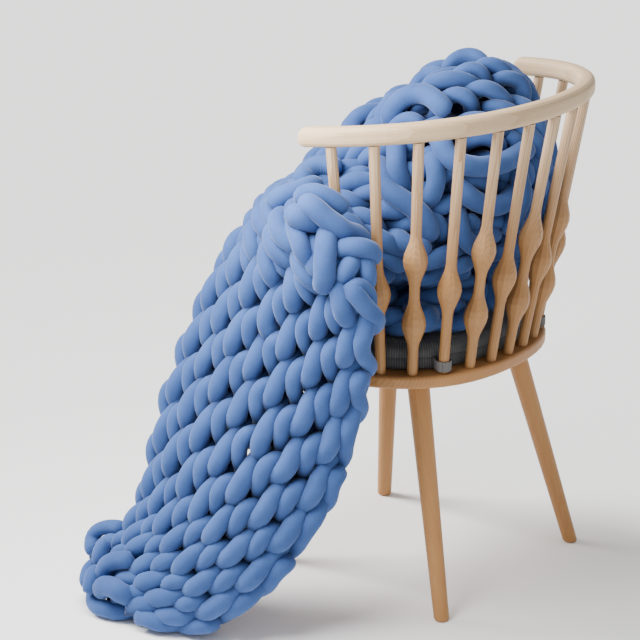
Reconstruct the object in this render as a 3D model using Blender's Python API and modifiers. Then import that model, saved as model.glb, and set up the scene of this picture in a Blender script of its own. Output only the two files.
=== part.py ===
"""A chunky knit blanket draped over a spindle-back chair, in metres, Z up.

The chair faces -Y and has its left side at +X. Sizes and places below are from the floor
under its middle; PLACE then puts the origin on the floor in the middle of the whole.
An azimuth runs round the chair's middle: 0 is the front, 90 degrees the left side and
180 degrees the middle of the back.
"""
from math import atan2, cos, pi, radians, sin

import bmesh
import bpy
import numpy as np
from mathutils import Vector

PLACE = -0.0999, 0.0163, 0  # the chair's middle, from the middle of the whole
PLACE_NAME = "chair_middle"
GAP = 0.0003                # between two pieces that sit on each other

# Seat board: a rounded square, and the cushion that is cut to the same outline
SEAT_TOP = 0.380
BOARD_THICK = 0.020
BOARD_RADIUS = 0.2267
BOARD_SQUARENESS = 0.0258   # share by which the corners stand out
BOARD_WIDENING = 0.0233     # share by which the sides stand out and the front and back fall in
BOARD_MIDDLE_Y = -0.0035
BOARD_EDGE_ROUND = 0.005
BOARD_EDGE_STEPS = 3
BOARD_CORNERS = 56          # points round the outline
CUSHION_INSET = 0.027
CUSHION_THICK = 0.041
CUSHION_CORNERS = 40
CUSHION_PROFILE = [         # inset from the seam, share of the thickness
    (0.0120, 0.0), (0.0030, 0.14), (0.0000, 0.42), (0.0012, 0.50), (0.0000, 0.58),
    (0.0040, 0.84), (0.0160, 0.96), (0.0500, 1.0), (0.1500, 1.0),
]

# Legs: round tapers that splay out from under the board
LEG_FOOT_RADIUS = 0.0120
LEG_TOP_RADIUS = 0.0175
LEG_END_ROUND = 0.004
LEG_SIDES = 20
LEG_TOPS = 0.1312, 0.118    # from the middle, sideways and along Y
LEGS = [                    # name, side, foot sideways, foot along Y
    ("front_left", 1, 0.1715, -0.1557),
    ("front_right", -1, 0.1715, -0.1557),
    ("rear_left", 1, 0.1898, 0.2088),
    ("rear_right", -1, 0.1898, 0.2088),
]

# Back rail: a horseshoe seen from above, a little higher at the back
RAIL_RADIUS = 0.284
RAIL_SQUARENESS = 0.0045
RAIL_WIDENING = 0.0363
RAIL_MIDDLE_Y = -0.0039
RAIL_UNDER = 0.7409         # underside at the sides
RAIL_RISE = 0.0346          # added at the middle of the back
RAIL_CROWN = 0.0068
RAIL_HEIGHT = 0.030
RAIL_HALF_WIDTH = 0.0135
RAIL_ROUND = 0.0105         # of the section's corners
RAIL_ROUND_STEPS = 4        # sides of each corner
RAIL_END = radians(93.3)    # azimuth of the arm's end
RAIL_END_ANGLES = 12, 26, 42, 60, 78    # degrees round the arm's rounded end
RAIL_STATIONS = 56

# Spindles: turned, with one swell or two in turn
SPINDLES = 13
SPINDLE_STEP = radians(12.73)
SPINDLE_INSET = 0.0155      # feet in from the board's edge
SPINDLE_RADIUS = 0.0082
SWELL_RADIUS = 0.0187
SWELL_LENGTH = 0.085
SWELL_STEPS = 8             # sections along a swell
SPINDLE_SIDES = 12
TWO_SWELLS = 0.225, 0.500   # middles, as shares of the length
ONE_SWELL = (0.360,)

# Strap loops, sewn to the cushion, each round one spindle's foot
STRAP_SPINDLES = 4, 10
STRAP_WIDTH = 0.016
STRAP_THICK = 0.002
STRAP_CLEAR = 0.0022        # round the leaning spindle
STRAP_LIFT = 0.004
STRAP_STEPS = 12            # round the spindle

# Blanket: one long knitted strip. Each row gives its right edge, its middle and its left
# edge as it lies, how full its arch is between them, and half its thickness there, from
# the end on the floor to the end that lies on the cushion.
BLANKET_EDGE = 0.07         # share of the width over which the edge thins
BLANKET_EDGE_THIN = 0.72
BLANKET_EDGE_BULGE = 0.8    # of half the thickness there, past the edge
ACROSS = 13                 # points across the strip
ALONG = 4                   # sections from one row to the next
ARCH_STEPS = 80             # steps along an arch when it is measured
BLANKET_ROWS = [            # name, right edge, middle, left edge, fullness, half thickness
    ("end", (0.500, -0.196, 0.018), (0.478, -0.256, 0.026), (0.396, -0.310, 0.052), 2.0, 0.026),
    ("foot", (0.474, -0.126, 0.016), (0.452, -0.212, 0.044), (0.386, -0.292, 0.064), 2.0, 0.032),
    ("toe", (0.442, -0.044, 0.026), (0.436, -0.130, 0.108), (0.378, -0.254, 0.082), 2.2, 0.032),
    ("shin", (0.398, 0.032, 0.098), (0.410, -0.080, 0.180), (0.362, -0.236, 0.138), 2.4, 0.032),
    ("calf", (0.348, 0.076, 0.180), (0.380, -0.060, 0.262), (0.336, -0.236, 0.205), 2.5, 0.032),
    ("knee", (0.307, 0.102, 0.275), (0.342, -0.045, 0.345), (0.306, -0.234, 0.285), 2.5, 0.032),
    ("board", (0.293, 0.122, 0.370), (0.311, -0.030, 0.420), (0.274, -0.228, 0.365), 2.5, 0.032),
    ("seat", (0.296, 0.141, 0.460), (0.295, -0.025, 0.488), (0.242, -0.215, 0.432), 2.5, 0.032),
    ("flap", (0.305, 0.145, 0.545), (0.286, -0.032, 0.548), (0.206, -0.189, 0.490), 2.6, 0.032),
    ("bend", (0.313, 0.062, 0.602), (0.258, -0.058, 0.594), (0.166, -0.172, 0.532), 2.4, 0.025),
    ("turn", (0.236, -0.020, 0.632), (0.178, -0.100, 0.612), (0.098, -0.170, 0.550), 2.3, 0.019),
    ("slope", (0.200, 0.014, 0.600), (0.112, -0.078, 0.636), (0.028, -0.168, 0.572), 2.6, 0.028),
    ("rise", (0.178, 0.074, 0.562), (0.050, -0.032, 0.695), (-0.060, -0.160, 0.580), 3.0, 0.032),
    ("top", (0.142, 0.118, 0.541), (-0.008, 0.025, 0.752), (-0.140, -0.115, 0.562), 3.2, 0.032),
    ("crown", (0.090, 0.150, 0.540), (-0.065, 0.085, 0.795), (-0.178, -0.040, 0.558), 3.2, 0.032),
    ("brow", (0.030, 0.166, 0.545), (-0.108, 0.140, 0.745), (-0.174, 0.030, 0.560), 3.0, 0.032),
    ("back", (-0.022, 0.160, 0.545), (-0.132, 0.158, 0.645), (-0.164, 0.078, 0.556), 2.5, 0.026),
    ("heel", (-0.050, 0.142, 0.493), (-0.120, 0.134, 0.520), (-0.146, 0.088, 0.497), 2.2, 0.018),
    ("under", (-0.010, 0.122, 0.442), (-0.074, 0.074, 0.450), (-0.132, 0.040, 0.442), 2.0, 0.018),
    ("hump", (0.076, 0.136, 0.440), (-0.015, 0.010, 0.560), (-0.128, -0.060, 0.440), 2.4, 0.030),
    ("brink", (0.140, 0.084, 0.440), (0.045, -0.050, 0.535), (-0.070, -0.128, 0.440), 2.4, 0.030),
    ("tail", (0.162, 0.005, 0.440), (0.095, -0.105, 0.448), (0.005, -0.160, 0.440), 2.0, 0.026),
]

# name: colour, roughness, metallic
FINISHES = {
    "pale_wood": ((0.62, 0.48, 0.36), 0.55, 0.0),
    "warm_wood": ((0.55, 0.38, 0.25), 0.55, 0.0),
    "grey_cloth": ((0.42, 0.42, 0.42), 0.90, 0.0),
    "blue_yarn": ((0.22, 0.33, 0.60), 0.95, 0.0),
}


def start(name):
    """Empty the scene; return the object's collection, with the empty that places it."""
    for old in list(bpy.data.objects):
        bpy.data.objects.remove(old, do_unlink=True)
    collection = bpy.data.collections.new(name)
    bpy.context.scene.collection.children.link(collection)
    middle = bpy.data.objects.new(PLACE_NAME, None)
    middle.location = PLACE
    collection.objects.link(middle)
    return collection


def finish_of(kind, name):
    """A sub-part's own material in one of the named finishes."""
    colour, roughness, metallic = FINISHES[kind]
    material = bpy.data.materials.new(name)
    material.use_nodes = True
    shader = material.node_tree.nodes["Principled BSDF"]
    shader.inputs["Base Color"].default_value = (*colour, 1)
    shader.inputs["Roughness"].default_value = roughness
    shader.inputs["Metallic"].default_value = metallic
    return material


def add(name, mesh, kind, collection, smooth=40):
    """Link a mesh as a named object with its material, shaded smooth, in its place."""
    part = bpy.data.objects.new(name, mesh)
    collection.objects.link(part)
    part.parent = collection.objects[PLACE_NAME]
    mesh.materials.append(finish_of(kind, name))
    mesh.shade_smooth()
    mesh.set_sharp_from_angle(angle=radians(smooth))
    return part


def at(azimuth, radius, z, middle_y=0.0):
    """The point at an azimuth and a distance from the middle."""
    return Vector((radius * sin(azimuth), middle_y - radius * cos(azimuth), z))


def board_radius(azimuth):
    """From the seat's middle to the board's edge."""
    return BOARD_RADIUS * (1 - BOARD_SQUARENESS * cos(4 * azimuth) - BOARD_WIDENING * cos(2 * azimuth))


def rail_radius(azimuth):
    """From the middle to the rail's centre line."""
    return RAIL_RADIUS * (1 - RAIL_SQUARENESS * cos(4 * azimuth) - RAIL_WIDENING * cos(2 * azimuth))


def rail_under(azimuth):
    """Height of the rail's underside."""
    back = -cos(azimuth)
    return RAIL_UNDER + RAIL_RISE * back - RAIL_CROWN * back * back


def ring_loft(name, rings):
    """A closed mesh through rings of equal point counts, with a flat cap at each end."""
    bm = bmesh.new()
    loops = [[bm.verts.new(point) for point in ring] for ring in rings]
    for low, high in zip(loops, loops[1:]):
        for i in range(len(low)):
            j = (i + 1) % len(low)
            bm.faces.new((low[i], low[j], high[j], high[i]))
    bm.faces.new(loops[0][::-1])
    bm.faces.new(loops[-1])
    bmesh.ops.recalc_face_normals(bm, faces=bm.faces)
    mesh = bpy.data.meshes.new(name)
    bm.to_mesh(mesh)
    bm.free()
    return mesh


def turned(name, profile, steps, collection):
    """A turned mesh round Z from (radius, height) points that run from the top down."""
    mesh = bpy.data.meshes.new(name + "_profile")
    points = [(0, 0, profile[0][1]), *[(r, 0, z) for r, z in profile], (0, 0, profile[-1][1])]
    mesh.from_pydata(points, [(i, i + 1) for i in range(len(points) - 1)], [])
    blank = bpy.data.objects.new(name + "_profile", mesh)
    collection.objects.link(blank)
    screw = blank.modifiers.new("turn", "SCREW")
    screw.steps = screw.render_steps = steps
    screw.use_merge_vertices = True
    screw.merge_threshold = 0.00001
    seen = blank.evaluated_get(bpy.context.evaluated_depsgraph_get())
    result = bpy.data.meshes.new_from_object(seen)
    result.name = name
    bpy.data.objects.remove(blank)
    return result


def lean(mesh, foot, top):
    """Lean a turned mesh over so that its axis runs from foot to top and its ends stay level."""
    for vertex in mesh.vertices:
        share = vertex.co.z / (top.z - foot.z)
        vertex.co += foot.lerp(top, share) - Vector((0, 0, vertex.co.z))


def build_board(collection):
    """The seat board, a flat outline made solid, with a rounded edge."""
    bm = bmesh.new()
    azimuths = [2 * pi * i / BOARD_CORNERS for i in range(BOARD_CORNERS)]
    rim = [at(azimuth, board_radius(azimuth), SEAT_TOP, BOARD_MIDDLE_Y) for azimuth in azimuths]
    bm.faces.new([bm.verts.new(point) for point in rim])
    mesh = bpy.data.meshes.new("seat_board")
    bm.to_mesh(mesh)
    bm.free()
    board = add("seat_board", mesh, "warm_wood", collection)
    solid = board.modifiers.new("thickness", "SOLIDIFY")
    solid.thickness = BOARD_THICK
    solid.offset = -1
    edge = board.modifiers.new("edge", "BEVEL")
    edge.width = BOARD_EDGE_ROUND
    edge.segments = BOARD_EDGE_STEPS
    edge.limit_method = "ANGLE"
    edge.angle_limit = radians(50)


def build_legs(collection):
    """Four round tapered legs with level ends, rounded at the rim."""
    height = SEAT_TOP - BOARD_THICK - GAP
    side, forward = LEG_TOPS
    for name, sign, foot_side, foot_y in LEGS:
        profile = [
            (LEG_TOP_RADIUS, height),
            (LEG_FOOT_RADIUS, LEG_END_ROUND),
            (LEG_FOOT_RADIUS - LEG_END_ROUND / 3, LEG_END_ROUND / 3),
            (LEG_FOOT_RADIUS - LEG_END_ROUND, 0),
        ]
        mesh = turned("leg_" + name, profile, LEG_SIDES, collection)
        top_y = forward if foot_y > 0 else -forward
        lean(mesh, Vector((sign * foot_side, foot_y, 0)), Vector((sign * side, top_y, height)))
        add("leg_" + name, mesh, "warm_wood", collection)


def rail_section(azimuth, shrink):
    """The rail's rounded section at an azimuth, drawn in towards its middle by shrink."""
    middle = RAIL_HEIGHT / 2
    ring = []
    for corner_x, corner_z, start_angle in ((1, 1, 0), (-1, 1, 90), (-1, -1, 180), (1, -1, 270)):
        for step in range(RAIL_ROUND_STEPS + 1):
            angle = radians(start_angle + 90 * step / RAIL_ROUND_STEPS)
            out = corner_x * (RAIL_HALF_WIDTH - RAIL_ROUND) + RAIL_ROUND * cos(angle)
            up = corner_z * (middle - RAIL_ROUND) + RAIL_ROUND * sin(angle)
            radius = rail_radius(azimuth) + out * shrink
            ring.append(at(azimuth, radius, rail_under(azimuth) + middle + up * shrink, RAIL_MIDDLE_Y))
    return ring


def build_rail(collection):
    """The back rail, a rounded strip bent to a horseshoe, with round arm ends."""
    rounding = RAIL_HEIGHT / 2 / RAIL_RADIUS
    end = [(RAIL_END + rounding * (1 - cos(radians(angle))), sin(radians(angle)))
           for angle in RAIL_END_ANGLES]
    first, last = RAIL_END + rounding, 2 * pi - RAIL_END - rounding
    stations = end + [(first + (last - first) * i / RAIL_STATIONS, 1.0) for i in range(RAIL_STATIONS + 1)]
    stations += [(2 * pi - azimuth, shrink) for azimuth, shrink in end[::-1]]
    mesh = ring_loft("back_rail", [rail_section(azimuth, shrink) for azimuth, shrink in stations])
    add("back_rail", mesh, "pale_wood", collection)


def spindle_azimuth(number):
    """Where a spindle stands: number 7 is in the middle of the back."""
    return pi + (number - (SPINDLES + 1) / 2) * SPINDLE_STEP


def spindle_foot(number):
    """The middle of a spindle's lower end, on the board."""
    azimuth = spindle_azimuth(number)
    return at(azimuth, board_radius(azimuth) - SPINDLE_INSET, SEAT_TOP + GAP, BOARD_MIDDLE_Y)


def spindle_top(number):
    """The middle of a spindle's upper end, under the rail."""
    azimuth = spindle_azimuth(number)
    return at(azimuth, rail_radius(azimuth), rail_under(azimuth) - GAP, RAIL_MIDDLE_Y)


def spindle_profile(length, middles):
    """Radius and height from the top down: a thin rod with its swells."""
    heights = {0.0, length}
    for middle in middles:
        heights |= {middle * length + SWELL_LENGTH * (step / SWELL_STEPS - 0.5)
                    for step in range(SWELL_STEPS + 1)}
    profile = []
    for height in sorted(heights, reverse=True):
        swell = 0.0
        for middle in middles:
            away = abs(height - middle * length) / (SWELL_LENGTH / 2)
            swell = max(swell, cos(min(away, 1) * pi / 2) ** 2)
        profile.append((SPINDLE_RADIUS + (SWELL_RADIUS - SPINDLE_RADIUS) * swell, height))
    return profile


def build_spindles(collection):
    """Thirteen turned spindles from the board to the rail's underside."""
    for number in range(1, SPINDLES + 1):
        foot, top = spindle_foot(number), spindle_top(number)
        middles = TWO_SWELLS if number % 2 else ONE_SWELL
        name = f"spindle_{number:02d}"
        length = top.z - foot.z
        mesh = turned(name, spindle_profile(length, middles), SPINDLE_SIDES, collection)
        ends = [vertex for vertex in mesh.vertices if vertex.co.z > length - GAP]
        lean(mesh, foot, top)
        for vertex in ends:
            here = atan2(vertex.co.x, RAIL_MIDDLE_Y - vertex.co.y)
            vertex.co.z = rail_under(here) - GAP
        add(name, mesh, "pale_wood", collection)


def build_cushion(collection):
    """The seat cushion, crowned, with its widest line at the side seam."""
    rings = []
    for inset, share in CUSHION_PROFILE:
        ring = []
        for i in range(CUSHION_CORNERS):
            azimuth = 2 * pi * i / CUSHION_CORNERS
            radius = board_radius(azimuth) - CUSHION_INSET - inset
            ring.append(at(azimuth, radius, SEAT_TOP + GAP + CUSHION_THICK * share, BOARD_MIDDLE_Y))
        rings.append(ring)
    add("seat_cushion", ring_loft("seat_cushion", rings), "grey_cloth", collection)


def build_straps(collection):
    """Two strap loops, each a band from the cushion's side round a spindle's foot and back."""
    for number in STRAP_SPINDLES:
        azimuth = spindle_azimuth(number)
        foot, top = spindle_foot(number), spindle_top(number)
        middle = foot.lerp(top, (STRAP_LIFT + STRAP_WIDTH / 2) / (top.z - foot.z))
        middle.z = foot.z + STRAP_LIFT
        out = Vector((sin(azimuth), -cos(azimuth), 0))
        aside = Vector((cos(azimuth), sin(azimuth), 0))
        radius = SPINDLE_RADIUS + STRAP_CLEAR + STRAP_THICK / 2
        cushion_side = at(azimuth, board_radius(azimuth) - CUSHION_INSET + GAP, 0, BOARD_MIDDLE_Y)
        reach = (cushion_side - middle).dot(out)
        route = [middle + aside * radius + out * reach]
        for i in range(STRAP_STEPS + 1):
            angle = pi * i / STRAP_STEPS
            route.append(middle + aside * (radius * cos(angle)) + out * (radius * sin(angle)))
        route.append(middle - aside * radius + out * reach)
        points = [point + Vector((0, 0, level)) for level in (0, STRAP_WIDTH) for point in route]
        count = len(route)
        faces = [(i, i + 1, count + i + 1, count + i) for i in range(count - 1)]
        name = f"strap_loop_{number:02d}"
        mesh = bpy.data.meshes.new(name)
        mesh.from_pydata(points, [], faces)
        strap = add(name, mesh, "grey_cloth", collection)
        solid = strap.modifiers.new("thickness", "SOLIDIFY")
        solid.thickness = STRAP_THICK
        solid.offset = 0


def spread(row, shares):
    """Points across one row of the strip, evenly spaced along its arch."""
    right, middle, left = row[0:3], row[3:6], row[6:9]
    fine = np.linspace(0, 1, ARCH_STEPS + 1)[:, None]
    arch = 1 - np.abs(2 * fine - 1) ** row[9]
    line = right + (left - right) * fine + (middle - (right + left) / 2) * arch
    travelled = np.append(0, np.cumsum(np.linalg.norm(np.diff(line, axis=0), axis=1)))
    wanted = shares * travelled[-1]
    return np.stack([np.interp(wanted, travelled, line[:, axis]) for axis in range(3)], axis=1)


def smooth_rows(table, places):
    """Rows of the table read at places between them, along a smooth curve through each value."""
    padded = np.vstack([2 * table[0] - table[1], table, 2 * table[-1] - table[-2]])
    rows = []
    for place in places:
        i = min(int(place), len(table) - 2)
        s = place - i
        a, b, c, d = padded[i:i + 4]
        rows.append(0.5 * (2 * b + (c - a) * s + (2 * a - 5 * b + 4 * c - d) * s ** 2
                           + (3 * b - a - 3 * c + d) * s ** 3))
    return rows


def build_blanket(collection):
    """The blanket, one closed solid: the strip's middle surface, thickened both ways."""
    table = np.array([[*right, *middle, *left, *rest] for _, right, middle, left, *rest in BLANKET_ROWS])
    places = np.linspace(0, len(table) - 1, (len(table) - 1) * ALONG + 1)
    shares = np.linspace(0, 1, ACROSS)
    rows = smooth_rows(table, places)
    surface = np.stack([spread(row, shares) for row in rows])
    along, across = np.gradient(surface, axis=0), np.gradient(surface, axis=1)
    normal = np.cross(along, across)
    normal /= np.linalg.norm(normal, axis=2, keepdims=True)
    inward = np.clip(np.minimum(shares, 1 - shares) / BLANKET_EDGE, 0, 1)
    thinning = np.sqrt(1 - BLANKET_EDGE_THIN * (1 - inward) ** 2)[:, None]
    side = across / np.linalg.norm(across, axis=2, keepdims=True)
    cushion_top = SEAT_TOP + GAP + CUSHION_THICK
    rings = []
    for row, middle, up, sideways in zip(rows, surface, normal, side):
        half = row[10] * thinning
        front, back = middle + up * half, middle - up * half
        right_edge = middle[:1] - sideways[:1] * half[0] * BLANKET_EDGE_BULGE
        left_edge = middle[-1:] + sideways[-1:] * half[-1] * BLANKET_EDGE_BULGE
        ring = np.vstack([front, left_edge, back[::-1], right_edge])
        over_seat = np.hypot(ring[:, 0], ring[:, 1]) < BOARD_RADIUS
        ring[:, 2] = np.maximum(ring[:, 2], np.where(over_seat, cushion_top + 2 * GAP, 0))
        rings.append([Vector(point) for point in ring])
    add("blanket", ring_loft("blanket", rings), "blue_yarn", collection, smooth=80)


def main():
    collection = start("blanket_on_chair")
    build_board(collection)
    build_legs(collection)
    build_rail(collection)
    build_spindles(collection)
    build_cushion(collection)
    build_straps(collection)
    build_blanket(collection)


main()
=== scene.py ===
"""Looks for a chunky knit blanket that lies bunched on a spindle-back chair and hangs to
the floor. Metres, Z up; the chair faces -Y and has its left side at +X."""
from math import cos, pi, radians, sin

import bpy
import numpy as np
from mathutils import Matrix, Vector, kdtree
from mathutils.bvhtree import BVHTree


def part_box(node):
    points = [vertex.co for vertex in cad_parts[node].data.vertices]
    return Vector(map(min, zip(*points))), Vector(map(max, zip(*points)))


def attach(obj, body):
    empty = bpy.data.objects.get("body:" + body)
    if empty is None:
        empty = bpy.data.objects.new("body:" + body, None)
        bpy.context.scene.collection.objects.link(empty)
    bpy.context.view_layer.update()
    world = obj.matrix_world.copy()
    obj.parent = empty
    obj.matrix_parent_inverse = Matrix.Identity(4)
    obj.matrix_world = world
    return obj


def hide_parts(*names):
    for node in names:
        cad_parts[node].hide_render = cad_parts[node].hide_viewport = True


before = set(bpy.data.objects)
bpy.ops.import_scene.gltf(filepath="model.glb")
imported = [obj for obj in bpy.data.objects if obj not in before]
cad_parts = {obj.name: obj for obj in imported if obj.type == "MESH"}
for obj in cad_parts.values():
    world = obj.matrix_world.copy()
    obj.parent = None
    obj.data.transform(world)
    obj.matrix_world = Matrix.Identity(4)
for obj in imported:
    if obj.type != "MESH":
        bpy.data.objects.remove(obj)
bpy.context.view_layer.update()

# ---------------------------------------------------------------- Viewpoint and studio
# The camera stands behind the chair's left side, well above the seat, and looks down on it
# through a long lens. The floor is plain and pale. Soft daylight comes from the chair's
# front left, and a smaller soft light hangs near the blanket's turn over the arm.
BOARD_OFF_MIDDLE = 0.0035       # the board's box sits this far in front of the chair's middle
board_low, board_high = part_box("seat_board")
CHAIR = (board_low + board_high) / 2
CHAIR = Vector((CHAIR.x, CHAIR.y + BOARD_OFF_MIDDLE, 0))
CAMERA_FROM_CHAIR = Vector((3.092, 2.142, 1.6515))
CAMERA_DOWN = radians(18.485)   # below the horizon
CAMERA_TURN = radians(126.75)   # from looking along +Y, anticlockwise
LENS = 139.7
FLOOR_REACH = 14
FLOOR_PALE = 0.95

camera_data = bpy.data.cameras.new("camera")
camera_data.type = "PERSP"
camera_data.sensor_width = 36
camera_data.lens = LENS
camera = bpy.data.objects.new("camera", camera_data)
camera.location = CHAIR + CAMERA_FROM_CHAIR
camera.rotation_euler = pi / 2 - CAMERA_DOWN, 0, CAMERA_TURN
bpy.context.scene.collection.objects.link(camera)
bpy.context.scene.camera = camera


def link(name, mesh, *materials):
    """A new object of that mesh, with its materials."""
    made = bpy.data.objects.new(name, mesh)
    for material in materials:
        mesh.materials.append(material)
    bpy.context.scene.collection.objects.link(made)
    return made


def new_material(name, roughness=0.6):
    """A material, its node tree, and its Principled shader."""
    material = bpy.data.materials.new(name)
    material.use_nodes = True
    shader = material.node_tree.nodes["Principled BSDF"]
    shader.inputs["Roughness"].default_value = roughness
    return material, material.node_tree, shader


def node(tree, kind, values=None, links=None, **settings):
    """A node with its settings, its sockets' values, and links from other nodes' sockets."""
    made = tree.nodes.new(kind)
    for name, value in settings.items():
        setattr(made, name, value)
    for socket, value in (values or {}).items():
        made.inputs[socket].default_value = value
    for socket, source in (links or {}).items():
        tree.links.new(source, made.inputs[socket])
    return made


floor_mesh = bpy.data.meshes.new("floor")
floor_mesh.from_pydata(
    [(x * FLOOR_REACH, y * FLOOR_REACH, 0) for x, y in ((-1, -1), (1, -1), (1, 1), (-1, 1))],
    [], [(0, 1, 2, 3)])
floor_paint, _, shader = new_material("floor_paint", 0.9)
shader.inputs["Base Color"].default_value = FLOOR_PALE, FLOOR_PALE, FLOOR_PALE, 1
link("floor", floor_mesh, floor_paint)

SKY_SEEN = 1.05                 # how bright the wall looks, about as pale as the floor
SKY_LIGHT = 0.65                # and how bright it is as a light on the chair
world = bpy.data.worlds.new("studio")
bpy.context.scene.world = world
world.use_nodes = True
sky = world.node_tree
sky.nodes["Background"].inputs["Color"].default_value = 1.0, 1.0, 1.0, 1
seen = node(sky, "ShaderNodeMapRange", {"To Min": SKY_LIGHT, "To Max": SKY_SEEN},
            {"Value": sky.nodes.new("ShaderNodeLightPath").outputs["Is Camera Ray"]})
sky.links.new(seen.outputs[0], sky.nodes["Background"].inputs["Strength"])

DAYLIGHT = 1.0, 0.99, 0.97
WINDOW_SIDE = Vector((1.0, -2.6, 2.7))          # the way the daylight comes from
WINDOW_WIDE = radians(26)
SUN_ENERGY = 6.4
NEAR_ENERGY = 17
NEAR_LIGHT = Vector((0.68, -0.05, 1.08))        # from the chair's middle
NEAR_SIDE = Vector((0.46, 0.0, 0.48))           # the way its light comes from
NEAR_WIDE = 0.5


def soft_light(name, kind, energy, comes_from):
    """A lamp of daylight's colour whose light comes from that way."""
    made = bpy.data.objects.new(name, bpy.data.lights.new(name, kind))
    made.data.energy = energy
    made.data.color = DAYLIGHT
    made.rotation_euler = comes_from.to_track_quat("Z", "Y").to_euler()
    bpy.context.scene.collection.objects.link(made)
    return made


soft_light("window", "SUN", SUN_ENERGY, WINDOW_SIDE).data.angle = WINDOW_WIDE
near_lamp = soft_light("near_window", "AREA", NEAR_ENERGY, NEAR_SIDE)
near_lamp.data.shape = "DISK"
near_lamp.data.size = NEAR_WIDE
near_lamp.location = CHAIR + NEAR_LIGHT
near_lamp.visible_camera = False


# ---------------------------------------------------------------- Wood
# The board and legs are solid beech, oiled to a warm tan. The bent rail and the turned
# spindles are bleached paler. All show fine fibres along the piece, and the spindles'
# swells cut through the year rings in long ovals.
SPINDLES = 13
SPINDLE_LEAN = 0.20             # outward for each metre up
RAIL_RADIUS = 0.284
PLANK_TURN = 0.3                # radians, of the board's planks round the upright


def group(name, inputs, outputs):
    """An empty node group with named sockets, its input node and its output node."""
    tree = bpy.data.node_groups.new(name, "ShaderNodeTree")
    for socket, kind, value in inputs:
        made = tree.interface.new_socket(socket, in_out="INPUT", socket_type="NodeSocket" + kind)
        if value is not None:
            made.default_value = value
    for socket, kind in outputs:
        tree.interface.new_socket(socket, in_out="OUTPUT", socket_type="NodeSocket" + kind)
    return tree, tree.nodes.new("NodeGroupInput").outputs, tree.nodes.new("NodeGroupOutput").inputs


def worked(tree, operation, *terms):
    """A Math node's result from numbers and other nodes' sockets."""
    made = node(tree, "ShaderNodeMath", operation=operation)
    for socket, term in zip(made.inputs, terms):
        if isinstance(term, (int, float)):
            socket.default_value = term
        else:
            tree.links.new(term, socket)
    return made.outputs[0]


def mixed(tree, share, first, second):
    """A colour between two colours' sockets; the node's colour sockets are 6 and 7."""
    return node(tree, "ShaderNodeMix", None, {0: share, 6: first, 7: second},
                data_type="RGBA").outputs[2]


def noise(tree, place, scale, detail, roughness=0.5):
    """A Noise Texture node of that scale per metre."""
    return node(tree, "ShaderNodeTexNoise", {"Scale": scale, "Detail": detail, "Roughness": roughness},
                {"Vector": place})


grain, given, out = group(
    "wood_grain",
    [("Place", "Vector", None), ("Pale", "Color", (0.8, 0.7, 0.6, 1)),
     ("Dark", "Color", (0.6, 0.45, 0.3, 1)), ("Rings per metre", "Float", 260.0),
     ("Ring strength", "Float", 0.5), ("Roughness", "Float", 0.5)],
    [("Colour", "Color"), ("Roughness", "Float"), ("Height", "Float")])
# The year rings wander a little, slowly along the fibres
long_place = node(grain, "ShaderNodeMapping", {"Scale": (1.0, 1.0, 0.2)}, {"Vector": given["Place"]})
bend = noise(grain, long_place.outputs[0], 12.0, 1.0)
wander = node(grain, "ShaderNodeVectorMath", {1: (0.016, 0.016, 0.0)}, {0: bend.outputs["Color"]},
              operation="MULTIPLY")
ring_place = node(grain, "ShaderNodeVectorMath", None,
                  {0: given["Place"], 1: wander.outputs[0]}, operation="ADD")
across = node(grain, "ShaderNodeSeparateXYZ", None, {0: ring_place.outputs[0]})
phase = worked(grain, "MULTIPLY", across.outputs["X"], given["Rings per metre"])
ring = worked(grain, "POWER", worked(grain, "FRACT", phase), 2.2)
# Fine fibres and paler and darker clouds lie over the rings
thread_place = node(grain, "ShaderNodeMapping", {"Scale": (1.0, 1.0, 0.035)}, {"Vector": given["Place"]})
thread = noise(grain, thread_place.outputs[0], 900.0, 3.0, 0.6).outputs["Fac"]
cloud = noise(grain, long_place.outputs[0], 30.0, 2.0).outputs["Fac"]
tone = worked(grain, "MULTIPLY", ring, given["Ring strength"])
tone = worked(grain, "MULTIPLY_ADD", thread, 0.55, tone)
tone = worked(grain, "MULTIPLY_ADD", cloud, 0.5, tone)
tone = node(grain, "ShaderNodeMapRange", {"From Min": 0.35, "From Max": 1.15}, {"Value": tone})
grain.links.new(mixed(grain, tone.outputs[0], given["Pale"], given["Dark"]), out["Colour"])
grain.links.new(worked(grain, "MULTIPLY_ADD", thread, 0.16, given["Roughness"]), out["Roughness"])
grain.links.new(thread, out["Height"])


def bump_from(tree, shader, look, strength, height):
    """Bump from the Height that a look's group puts out."""
    bump = node(tree, "ShaderNodeBump", {"Strength": strength, "Distance": height},
                {"Height": look.outputs["Height"]})
    tree.links.new(bump.outputs[0], shader.inputs["Normal"])


def wood(name, pale, dark, rings, ring_strength, roughness, place, low=None):
    """Wood whose fibres run along the third coordinate that place makes; low is painted light: a
    warmer colour, with the heights where it starts and ends giving way to the pale one above."""
    material, tree, shader = new_material(name)
    look = node(tree, "ShaderNodeGroup",
                {"Pale": (*pale, 1), "Dark": (*dark, 1), "Rings per metre": rings,
                 "Ring strength": ring_strength, "Roughness": roughness},
                {"Place": place(tree)}, node_tree=grain)
    # Painted light: the pale colour turns to a warmer tan lower down the piece, as if lit from above
    if low:
        painted_light_warm, start, end = low
        spot = node(tree, "ShaderNodeTexCoord")
        height = node(tree, "ShaderNodeSeparateXYZ", None, {0: spot.outputs["Object"]})
        share = node(tree, "ShaderNodeMapRange", {"From Min": start, "From Max": end},
                     {"Value": height.outputs["Z"]})
        painted_light_tint = node(tree, "ShaderNodeMix", {6: (*painted_light_warm, 1), 7: (*pale, 1)}, {0: share.outputs[0]},
                    data_type="RGBA")
        tree.links.new(painted_light_tint.outputs[2], look.inputs["Pale"])
    tree.links.new(look.outputs["Colour"], shader.inputs["Base Color"])
    tree.links.new(look.outputs["Roughness"], shader.inputs["Roughness"])
    bump_from(tree, shader, look, 0.12, 0.0006)
    shader.inputs["Specular IOR Level"].default_value = 0.35
    return material


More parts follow.
